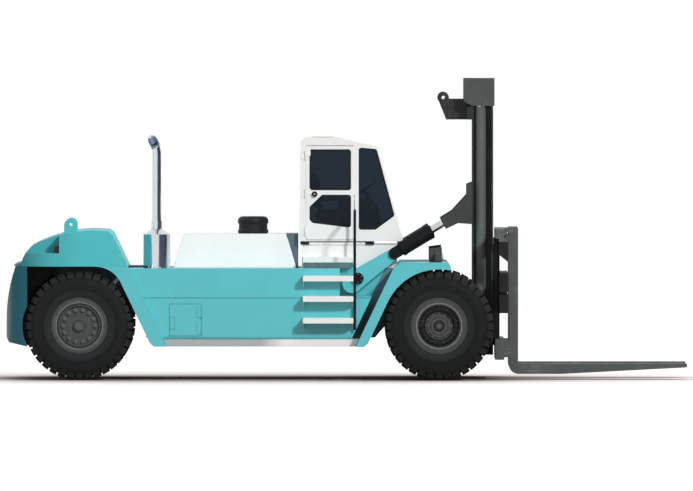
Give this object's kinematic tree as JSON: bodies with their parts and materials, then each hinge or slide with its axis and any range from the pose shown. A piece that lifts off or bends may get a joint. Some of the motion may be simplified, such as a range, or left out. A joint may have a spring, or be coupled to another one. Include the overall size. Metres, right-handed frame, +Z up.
{
  "type": "heavy forklift truck",
  "caption": "Heavy counterbalance forklift truck with an enclosed cab, twin drive wheels, steered rear wheels, a tilting two-stage mast and sliding forks.",
  "frame": {"origin": "on the ground, in the middle of the truck's length and width", "axes": "+X towards the fork tips, +Y to the driver's left, +Z up"},
  "size_m": [10.097, 3.45, 4.4678],
  "materials": {
    "teal_paint": "semi-gloss",
    "teal_casting": "semi-gloss paint",
    "white_paint": "semi-gloss",
    "mast_paint": "satin",
    "slate_paint": "satin",
    "black_paint": "satin",
    "engine_metal": "rough",
    "tyre_rubber": "matte",
    "rim_paint": "satin",
    "chrome": "polished",
    "black_plastic": "matte",
    "seat_cover": "matte",
    "tinted_glass": "clear"
  },
  "bodies": {
    "chassis": {"chassis_frame": "mast_paint", "drive_axle": "black_paint", "steer_axle": "black_paint", "counterweight": "teal_casting", "counterweight_cap": "teal_casting", "rear_mudguards": "teal_paint", "front_mudguards": "teal_paint", "side_box_right": "teal_paint", "side_box_left": "teal_paint", "sills": "white_paint", "engine_hood": "white_paint", "engine_block": "engine_metal", "hood_bulkhead": "slate_paint", "exhaust_stack": "chrome", "air_precleaner": "black_plastic", "cab_shell": "white_paint", "cab_glass": "tinted_glass", "cab_mounts": "black_paint", "cab_pedestal": "white_paint", "operator_seat": "seat_cover", "steering_console": "black_plastic", "steps": "white_paint", "handrails": "black_paint", "tilt_anchors": "teal_paint", "lamps": "mast_paint"},
    "hatch_right": {"hatch_right": "teal_paint"},
    "door_right": {"door_right": "white_paint", "door_glass_right": "tinted_glass"},
    "door_left": {"door_left": "white_paint", "door_glass_left": "tinted_glass"},
    "drive_wheel_right": {"drive_tyres_right": "tyre_rubber", "drive_rims_right": "rim_paint"},
    "drive_wheel_left": {"drive_tyres_left": "tyre_rubber", "drive_rims_left": "rim_paint"},
    "knuckle_right": {"knuckle_right": "black_paint"},
    "knuckle_left": {"knuckle_left": "black_paint"},
    "steer_wheel_right": {"steer_tyre_right": "tyre_rubber", "steer_rim_right": "rim_paint"},
    "steer_wheel_left": {"steer_tyre_left": "tyre_rubber", "steer_rim_left": "rim_paint"},
    "tilt_barrel_right": {"tilt_barrel_right": "black_paint"},
    "tilt_rod_right": {"tilt_rod_right": "chrome"},
    "tilt_barrel_left": {"tilt_barrel_left": "black_paint"},
    "tilt_rod_left": {"tilt_rod_left": "chrome"},
    "outer_mast": {"outer_mast": "mast_paint", "mast_crossbeams": "mast_paint", "tilt_brackets": "mast_paint", "lift_barrels": "mast_paint"},
    "inner_mast": {"inner_mast": "mast_paint", "lift_rods": "chrome", "lift_chains": "black_paint"},
    "carriage": {"carriage": "mast_paint"},
    "fork_right": {"fork_right": "mast_paint"},
    "fork_left": {"fork_left": "mast_paint"}
  },
  "joints": [
    {"name": "drive_wheel_right", "type": "hinge", "parent": "chassis", "child": "drive_wheel_right", "pos_m": [1.3675, -1.196, 0.808], "axis": [0, 1, 0], "continuous": true},
    {"name": "drive_wheel_left", "type": "hinge", "parent": "chassis", "child": "drive_wheel_left", "pos_m": [1.3675, 1.196, 0.808], "axis": [0, 1, 0], "continuous": true},
    {"name": "steer_right", "type": "hinge", "parent": "chassis", "child": "knuckle_right", "pos_m": [-3.9625, -1, 0.808], "axis": [0, 0, 1], "range_deg": [-50, 50]},
    {"name": "steer_left", "type": "hinge", "parent": "chassis", "child": "knuckle_left", "pos_m": [-3.9625, 1, 0.808], "axis": [0, 0, 1], "range_deg": [-50, 50]},
    {"name": "steer_wheel_right", "type": "hinge", "parent": "knuckle_right", "child": "steer_wheel_right", "pos_m": [-3.9625, -1.2, 0.808], "axis": [0, 1, 0], "continuous": true},
    {"name": "steer_wheel_left", "type": "hinge", "parent": "knuckle_left", "child": "steer_wheel_left", "pos_m": [-3.9625, 1.2, 0.808], "axis": [0, 1, 0], "continuous": true},
    {"name": "mast_tilt", "type": "hinge", "parent": "chassis", "child": "outer_mast", "pos_m": [1.7675, 0, 0.7], "axis": [0, 1, 0], "range_deg": [-10, 5]},
    {"name": "tilt_barrel_right", "type": "hinge", "parent": "chassis", "child": "tilt_barrel_right", "pos_m": [0.7075, -0.81, 1.872], "axis": [0, 1, 0], "range_deg": [-7.5, 3.8]},
    {"name": "tilt_rod_right", "type": "slide", "parent": "tilt_barrel_right", "child": "tilt_rod_right", "axis": [0.8539, 0, 0.5204], "range_m": [-0.275, 0.138]},
    {"name": "tilt_barrel_left", "type": "hinge", "parent": "chassis", "child": "tilt_barrel_left", "pos_m": [0.7075, 0.81, 1.872], "axis": [0, 1, 0], "range_deg": [-7.5, 3.8]},
    {"name": "tilt_rod_left", "type": "slide", "parent": "tilt_barrel_left", "child": "tilt_rod_left", "axis": [0.8539, 0, 0.5204], "range_m": [-0.275, 0.138]},
    {"name": "inner_lift", "type": "slide", "parent": "outer_mast", "child": "inner_mast", "axis": [0, 0, 1], "range_m": [0, 2]},
    {"name": "carriage_lift", "type": "slide", "parent": "inner_mast", "child": "carriage", "axis": [0, 0, 1], "range_m": [0, 2], "deforming": ["lift_chains"]},
    {"name": "fork_right", "type": "slide", "parent": "carriage", "child": "fork_right", "axis": [0, -1, 0], "range_m": [-0.4, 0.35]},
    {"name": "fork_left", "type": "slide", "parent": "carriage", "child": "fork_left", "axis": [0, 1, 0], "range_m": [-0.4, 0.35]},
    {"name": "door_right", "type": "hinge", "parent": "chassis", "child": "door_right", "pos_m": [-0.6145, -0.695, 0], "axis": [0, 0, -1], "range_deg": [0, 95]},
    {"name": "door_left", "type": "hinge", "parent": "chassis", "child": "door_left", "pos_m": [-0.6145, 0.695, 0], "axis": [0, 0, 1], "range_deg": [0, 95]},
    {"name": "hatch_right", "type": "hinge", "parent": "chassis", "child": "hatch_right", "pos_m": [-2.1475, -1.382, 0], "axis": [0, 0, 1], "range_deg": [0, 110]}
  ],
  "couplings": [
    {"joint": "steer_left", "follows": "steer_right", "ratio": 1},
    {"joint": "carriage_lift", "follows": "inner_lift", "ratio": 1},
    {"joint": "tilt_barrel_right", "follows": "mast_tilt", "ratio": 0.736},
    {"joint": "tilt_rod_right", "follows": "mast_tilt", "m_per_rad": 1.564},
    {"joint": "tilt_barrel_left", "follows": "mast_tilt", "ratio": 0.736},
    {"joint": "tilt_rod_left", "follows": "mast_tilt", "m_per_rad": 1.564}
  ]
}
